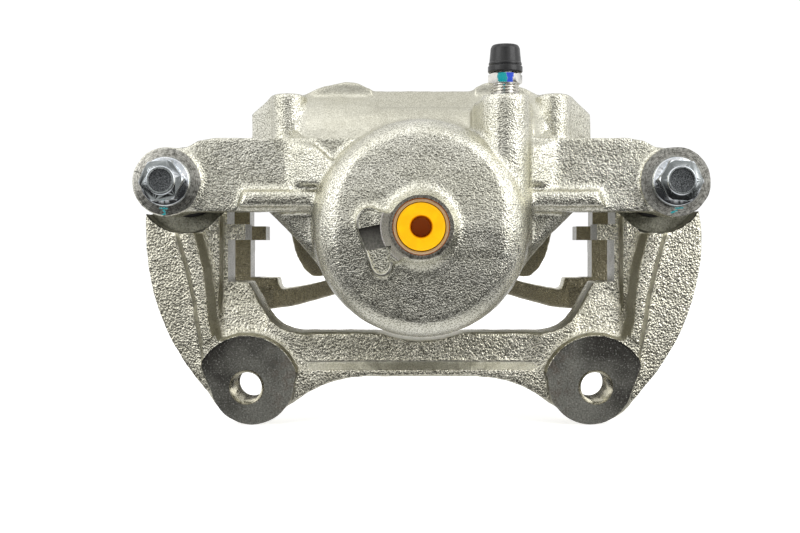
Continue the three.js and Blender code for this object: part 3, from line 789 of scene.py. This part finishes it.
def build_housing():
    fills, tools = [], []
    for side in (-1, 1):
        pin = (side * PIN_X, PIN_Z)
        skin = EAR[0] - (0.5 if side < 0 else 2)
        fills += [
            rod(11.9, skin, EAR[0] + 3, pin, segments=64),
            rod(11.9, EAR[1] - 3, EAR[1] + 1.2, pin, segments=64),
            rod(6, EAR[0] + 0.2, EAR[1] - 0.2, pin, segments=32),
        ]
        spot = 11.66 if side < 0 else 14
        tools += [
            rod(spot, -50, EAR[0], pin, material=EAR_METAL),
            rod(14, EAR[1], -8, pin, material=SPOT_METAL),
            rod(4.4, -40, 0, pin, material=SPOT_METAL, segments=64),
        ]
    cylinder = (0, CYL_Z)
    bleed = (BLEED_X, BLEED_Y)
    fills += [
        rod(34.4, BORE_END_Y - 1, 0.6, cylinder, segments=96),
        rod(10.2, -48.2, -36, cylinder, segments=64),
        prism([(0, CYL_Z), *arc(0, CYL_Z, SPOT_R + 0.8, 159, 237, 12)], -48.6, -40),
        boolean(prism(PAD, -50, -41), prism(PAD_FALL, -40, 10, "X"), "INTERSECT"),
        rod(7.6, 80, BLEED_TOP + 0.6, bleed, "Z", segments=48),
        rod(3, 73, 82, bleed, "Z", segments=24),
    ]
    bore = [
        [0, BORE_END_Y], [28.6, BORE_END_Y, 1], [30.2, BORE_END_Y + 1.6], [30.2, SEAL_Y - 2.2],
        [33.6, SEAL_Y - 2], [33.6, SEAL_Y + 2], [30.2, SEAL_Y + 2.2], [30.2, -7.6], [34, -7.6], [34, 5],
        [0, 5],
    ]
    port = [
        [0, -60], [9.1, -60], [9.1, INLET_Y + 0.35, 0.1], [8.0, INLET_Y + 0.5, 0.1],
        [8.0, INLET_Y + 3.6, 0.3], [4.8, INLET_Y + 3.6], [4.8, BORE_END_Y - 2.4], [2, BORE_END_Y - 1.6],
        [2, BORE_END_Y + 1], [0, BORE_END_Y + 1],
    ]
    drill = [
        [0, BLEED_TOP + 4], [5.9, BLEED_TOP + 4], [5.9, BLEED_TOP], [4.9, BLEED_TOP - 1.2], [4.9, 84],
        [1.4, 81], [1.4, 74], [0, 74],
    ]
    surround = [[SPOT_R, -60], [20, -60], [20, -47.05], [SPOT_R, -47.05]]
    key_cutter = rod(SPOT_R, -70, -30, cylinder, material=SLOT_METAL)
    tools += [
        turned(bore, cylinder, material=PORT_METAL),
        rod(38, -1, 4, cylinder, material=PORT_METAL),
        rod(18, -60, INLET_Y, cylinder, material=PORT_FACE),
        turned(port, cylinder, material=PORT_FACE),
        turned(surround, cylinder, closed=True, material=CAST_HOUSING),
        prism(TOE, -60, -44.8, material=CAST_HOUSING),
        boolean(prism(KEYWAY, -60, -44.2, material=SLOT_METAL), key_cutter),
        rod(11, BLEED_TOP, BLEED_TOP + 6, bleed, "Z", material=PORT_METAL),
        turned(drill, bleed, "Z", material=PORT_METAL, segments=64),
    ]
    body = cast("caliper_housing", fills, CAST_HOUSING, stock=1.4)
    rim = prism(PAD, -50, -43, material=CAST_EDGE)
    boolean(rim, prism(PAD_RIM_FALL, -40, 10, "X", material=CAST_EDGE), "INTERSECT")
    inside = [((x - PAD_MIDDLE[0]) * 0.83 + PAD_MIDDLE[0], (z - PAD_MIDDLE[1]) * 0.91 + PAD_MIDDLE[1])
              for x, z in PAD]
    boolean(rim, prism(inside, -60, -40, material=CAST_EDGE))
    bevel(rim, 0.3)
    boolean(body, rim, "UNION")
    machine(body, tools)
    finished(body, "housing_casting", "caliper", ["caliper_housing"])


# ---- turned and forged pieces ---------------------------------------------------------------
def build_bolt(side, name):
    under = EAR[0] - 0.3
    top = under - 8.25
    pin = (side * PIN_X, PIN_Z)
    turn = 5 if side < 0 else -3
    dimple_r = 4.0 if side < 0 else 4.25
    head = prism(about(pin, hexagon(13, turn)), top, under - 1.2, material=ZINC)
    crown = turned([
        [0, top], [7.0, top], [7.6, under - 7.75], [7.6, under - 1], [0, under - 1],
    ], pin, material=ZINC)
    boolean(head, crown, "INTERSECT")
    rim = turned([
        [0, under - 8.95], [4.6, under - 8.95, 0.35], [4.95, under - 8.5, 0.4], [5.1, under - 7.4],
        [0, under - 7.4],
    ], pin, material=ZINC)
    flange = turned([
        [0, under - 2.6], [6.4, under - 2.6], [8.1, under - 2.15, 0.5], [8.5, under - 1.3, 0.5],
        [8.45, under], [3.3, under], [3.3, 8], [2.6, 9], [0, 9],
    ], pin, material=ZINC)
    boolean(head, rim, "UNION")
    boolean(head, flange, "UNION")
    dimple = turned([
        [0, under - 12], [dimple_r, under - 12], [dimple_r - 0.2, under - 8.6, 0.2],
        [dimple_r - 0.55, under - 8.1, 0.4], [0, under - 7.8],
    ], pin, material=DIMPLE)
    boolean(head, dimple)
    bevel(head, 0.26)
    finished(head, "pin_bolt_" + name + "_head", "caliper", ["pin_bolt_" + name], 30)


def build_pin(side, name):
    pin = (side * PIN_X, PIN_Z)
    top = EAR[1] + 0.3
    neck = 4 if side > 0 else 5
    end = 4.8 if side > 0 else 5
    shank = turned([
        [0, top], [6.2, top], [7.4, top + 1, 0.3], [7.4, -3.4, 0.3], [5.4, -3.2, 0.3], [5.4, -1.4, 0.3],
        [7, -1, 0.2], [7, 0.4, 0.2], [5, 1.4, 0.3], [5, PIN_TIP_Y - 16], [neck, PIN_TIP_Y - 15.6],
        [neck, PIN_TIP_Y - 3], [end, PIN_TIP_Y - 2.6], [4, PIN_TIP_Y, 0.6], [0, PIN_TIP_Y],
    ], pin, material=ZINC, segments=64)
    flat = ((6.4, -12), (9, -12), (9, 12), (6.4, 12))
    for way in (-1, 1):
        boolean(shank, prism(about(pin, on_side(way, flat)), -20, -3.3, material=ZINC))
    boolean(shank, rod(3.6, -30, 12, pin, material=ZINC, segments=48))
    finished(shank, "guide_pin_" + name + "_rod", "caliper", ["guide_pin_" + name])


def build_pin_boot(side, name):
    pin = (side * PIN_X, PIN_Z)
    flange = PIN_SPOT_Y - 0.3
    boot = turned([
        [5.6, -3, 0.4], [7.8, -3, 0.6], [8.5, -2.2, 0.5], [8.5, -1.0, 0.5], [7.8, -0.3, 0.4],
        [9.9, 1.7, 0.7], [7.9, 3.4, 0.4], [10.1, 5.4, 0.7], [8.1, 7.0, 0.4], [10.3, 9.0, 0.7],
        [8.6, 10.4, 0.4], [10.9, 10.9, 0.4], [11.2, flange, 0.2], [6.4, flange], [6.4, 10.6, 0.3],
        [8.9, 9.0, 0.6], [6.7, 7.1, 0.3], [8.7, 5.4, 0.6], [6.5, 3.5, 0.3], [8.5, 1.7, 0.6],
        [7.2, 0.8, 0.3], [7.2, -1.2, 0.2], [5.7, -1.6, 0.2],
    ], pin, closed=True, material=RUBBER, segments=96)
    finished(boot, "pin_boot_" + name + "_bellows", None, ["pin_boot_" + name], 50)
    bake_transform(boot)


def build_piston_group():
    c = (0, CYL_Z)
    face = PISTON_FACE_Y
    piston = turned([
        [0, PISTON_BACK_Y], [28.4, PISTON_BACK_Y], [30, PISTON_BACK_Y + 2, 0.6], [30, face - 7, 0.2],
        [28.4, face - 6.6, 0.2], [28.4, face - 3.4, 0.2], [30, face - 3, 0.2], [30, face - 0.8],
        [29.2, face, 0.3], [23.4, face, 0.4], [22.6, face - 1, 0.4], [22.2, PISTON_BACK_Y + 8, 2],
        [18, PISTON_BACK_Y + 6, 2], [0, PISTON_BACK_Y + 6],
    ], c, material=CHROME)
    finished(piston, "piston_cup", "piston", ["piston"])
    seal = turned([
        [30.1, SEAL_Y - 1.7, 0.2], [33.3, SEAL_Y - 1.7, 0.2], [33.3, SEAL_Y + 1.7, 0.2],
        [30.1, SEAL_Y + 1.7, 0.2],
    ], c, closed=True, material=RUBBER)
    finished(seal, "square_seal", "caliper", ["piston_seal"])
    spring = turned([
        [32.5, -4.3, 0.3], [33.7, -4.3, 0.3], [33.7, -2.7, 0.3], [32.5, -2.7, 0.3],
    ], c, closed=True, material=SPRING)
    finished(spring, "boot_ring_wire", "caliper", ["dust_boot_ring"])
    boot = turned([
        [31.1, -7.3, 0.3], [33.7, -7.3, 0.3], [33.7, -4.6, 0.3], [32.1, -4.6, 0.2], [32.1, -0.7, 0.4],
        [34.6, 0.8, 0.7], [34.8, 2, 0.7], [32.4, 3.7, 0.6], [30.4, 4.3, 0.3], [28.9, 4.3, 0.3],
        [28.9, 2, 0.3], [30.6, 2, 0.3], [31.9, 2.4, 0.4], [33.6, 1.6, 0.5], [31.1, 0.2, 0.4],
    ], c, closed=True, material=RUBBER)
    finished(boot, "piston_boot_fold", None, ["piston_dust_boot"], 50)
    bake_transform(boot)


def build_bushing():
    tip = PIN_TIP_Y
    bushing = turned([
        [4.15, tip - 15.3], [5.15, tip - 15.3, 0.2], [5.15, tip - 11.4, 0.2], [4.85, tip - 11, 0.2],
        [4.85, tip - 8, 0.2], [5.15, tip - 7.6, 0.2], [5.15, tip - 3.4, 0.2], [4.15, tip - 3.4],
    ], (PIN_X, PIN_Z), closed=True, material=RUBBER, segments=64)
    finished(bushing, "pin_bushing_sleeve", "caliper", ["guide_pin_bushing"])


def build_bleeder():
    c = (BLEED_X, BLEED_Y)
    base, top = BLEED_HEX
    stem = turned([
        [0, 81.6], [1.2, 81.6], [4.4, 84.6, 0.3], [4.4, base - 3.4], [4.2, base - 3.2], [4.2, base - 0.2],
        [4.2, base + 1], [3.4, top], [3.4, top + 2], [2.7, top + 2.8, 0.3], [2.7, top + 4, 0.3],
        [3.3, top + 4.6, 0.3], [3.3, top + 5.4, 0.3], [2.6, top + 6, 0.3], [0, top + 6],
    ], c, "Z", material=BLEED_ZINC, segments=64)
    screw = threaded(c, "Z", 4.2, 4.86, 1.0, BLEED_TOP - 8, base - 0.25, material=BLEED_ZINC)
    boolean(stem, screw, "UNION")
    head = prism(about(c, hexagon(10, 5)), base, top, "Z", material=BLEED_ZINC)
    cone = turned([
        [0, base], [5.0, base], [5.75, base + 0.5], [5.75, top - 0.5], [5.0, top], [0, top],
    ], c, "Z", material=BLEED_ZINC)
    boolean(head, cone, "INTERSECT")
    bevel(head, 0.1)
    boolean(stem, head, "UNION")
    boolean(stem, rod(1.1, 90, 130, c, "Z", material=DIMPLE, segments=24))
    finished(stem, "bleeder_screw_body", "bleeder", ["bleeder_screw"], 30)


def build_cap():
    z = BLEED_HEX[1] + 0.3
    cap = turned([
        [3.6, z, 0.2], [5.45, z, 0.3], [5.78, z + 0.4, 0.3], [5.78, z + 2.1, 0.3], [5.35, z + 2.3, 0.15],
        [5.35, z + 2.5, 0.15], [5.52, z + 2.7, 0.2], [5.5, z + 3.3, 0.25], [5.3, z + 3.5, 0.2],
        [4.87, z + 8.1, 1.0], [4.3, z + 9.3, 0.9], [0, z + 9.42], [0, z + 7.9], [3.6, z + 7.4],
    ], (BLEED_X, BLEED_Y), "Z", closed=True, material=CAP_RUBBER)
    finished(cap, "bleeder_cap_rubber", "cap", ["bleeder_cap"], 50)


def build_plug():
    plug = turned([
        [0, -39.2], [3.9, -39.2, 0.2], [4.4, -40, 0.2], [4.4, -44.2, 0.2], [7.4, -44.2, 0.3],
        [7.7, -44.7, 0.3], [7.7, -49.4, 0.6], [7.2, -50, 0.6], [3.9, -50, 0.5], [3.45, -49.4, 0.4],
        [3.2, -41.8, 0.4], [0, -41.5],
    ], (0, CYL_Z), material=YELLOW)
    finished(plug, "inlet_plug_body", "plug", ["inlet_plug"])


build_bracket()
build_housing()
build_piston_group()
build_bushing()
for side, side_name in ((-1, "left"), (1, "right")):
    build_bolt(side, side_name)
    build_pin(side, side_name)
    build_pin_boot(side, side_name)
build_bleeder()
build_cap()
build_plug()


# ---- stage, light and camera ----------------------------------------------------------------
FLOOR_Z = -13.7 * MM
FRONT_RISE = (-0.07, 0.05)        # the front opening turns from dark to light across the horizon
FRONT_DARK = 0.025
FRONT_FALL = (-0.95, -0.52)       # and light again steeply below, where the table is
FRONT_LOW = 0.75
FRONT_HIGH = 0.93
FRONT_DEPTH = (-0.1, 0.5)         # how far to the sides the front opening reaches
COLUMN = (0.08, 0.3)              # half width of the darker column that the camera stands in
COLUMN_SHADE = 0.5
COLUMN_TOP = (0.4, 0.7)           # where the column fades out overhead
AROUND = 1.05
BEHIND = 0.72                     # what is behind the object, as a share of AROUND
BEHIND_DEPTH = (0.5, 0.9)
BELOW = 0.9
BELOW_RISE = (-0.9, -0.05)
AIM = (0, 0.02, 0.05)             # where the lamps point
LAMPS = (                         # name, place, size and power
    ("key_top", (-0.15, -0.3, 0.8), (0.5, 0.3), 0.35),
    ("side_left", (-0.52, -0.36, 0.3), (0.42, 0.7), 1.02),
    ("side_right", (0.52, -0.36, 0.3), (0.42, 0.7), 1.72),
)
CAMERA_PLACE = (0, -0.406, 0.0521)
CAMERA_LENS = 50.625
CAMERA_SHIFT = (-0.0265, -0.029375)


def build_stage():
    bm = bmesh.new()
    bmesh.ops.create_grid(bm, x_segments=2, y_segments=2, size=8)
    bm.transform(Matrix.Translation((0, 0, FLOOR_Z)))
    f = Finish("pale_floor", Roughness=0.9, Specular_IOR_Level=0.1)
    f.set(Base_Color=f.mix(f.noise(0.004, 2.0), (0.93, 0.93, 0.93, 1), (0.95, 0.95, 0.95, 1)))
    f.shader.inputs["Emission Color"].default_value = (1, 1, 1, 1)
    f.shader.inputs["Emission Strength"].default_value = 0.62
    floor = to_object(bm, f.material, "floor")
    floor.visible_glossy = False


def build_world():
    """White all round, with an opening in front that is dark below the horizon, where the camera is.

    A darker column stands in the lighter part above. The camera itself sees an even white.
    """
    world = bpy.data.worlds.new("studio")
    bpy.context.scene.world = world
    world.use_nodes = True
    tree = world.node_tree
    split = tree.nodes.new("ShaderNodeSeparateXYZ")
    tree.links.new(tree.nodes.new("ShaderNodeTexCoord").outputs["Generated"], split.inputs[0])

    def step(source, start, end, to_start, to_end):
        node = tree.nodes.new("ShaderNodeMapRange")
        node.interpolation_type = "SMOOTHSTEP"
        tree.links.new(source, node.inputs["Value"])
        ends = {"From Min": start, "From Max": end, "To Min": to_start, "To Max": to_end}
        for key, value in ends.items():
            if isinstance(value, bpy.types.NodeSocket):
                tree.links.new(value, node.inputs[key])
            else:
                node.inputs[key].default_value = value
        return node.outputs[0]

    def combine(operation, a, b=1.0):
        node = tree.nodes.new("ShaderNodeMath")
        node.operation = operation
        node.inputs[1].default_value = b
        tree.links.new(a, node.inputs[0])
        return node.outputs[0]

    x, y, z = split.outputs
    under = step(z, *FRONT_FALL, FRONT_LOW, FRONT_DARK)
    column = step(z, *COLUMN_TOP, COLUMN_SHADE * FRONT_HIGH, FRONT_HIGH)
    high = step(combine("ABSOLUTE", x), *COLUMN, column, FRONT_HIGH)
    front = step(z, *FRONT_RISE, under, high)
    around = step(z, *BELOW_RISE, BELOW, AROUND)
    sides = step(y, *BEHIND_DEPTH, around, combine("MULTIPLY", around, BEHIND))
    strength = step(y, *FRONT_DEPTH, front, sides)
    seen = tree.nodes.new("ShaderNodeLightPath").outputs["Is Camera Ray"]
    shown = step(seen, 0.0, 1.0, strength, AROUND)
    background = tree.nodes["Background"]
    background.inputs["Color"].default_value = (1, 1, 1, 1)
    tree.links.new(shown, background.inputs["Strength"])


def area_light(name, place, size, power):
    light = bpy.data.lights.new(name, "AREA")
    light.shape = "RECTANGLE"
    light.size, light.size_y = size
    light.energy = power
    obj = link(bpy.data.objects.new(name, light))
    obj.location = place
    obj.rotation_euler = (Vector(AIM) - Vector(place)).to_track_quat("-Z", "Y").to_euler()


def build_camera():
    data = bpy.data.cameras.new("camera")
    data.lens = CAMERA_LENS
    data.sensor_width = 36
    data.shift_x, data.shift_y = CAMERA_SHIFT
    data.clip_start = 0.01
    data.clip_end = 50
    camera = link(bpy.data.objects.new("camera", data))
    camera.location = CAMERA_PLACE
    camera.rotation_euler = (math.radians(90), 0, 0)
    bpy.context.scene.camera = camera


build_stage()
build_world()
for lamp in LAMPS:
    area_light(*lamp)
build_camera()
bpy.context.scene.view_settings.view_transform = "Standard"
bpy.context.scene.view_settings.exposure = 0.0
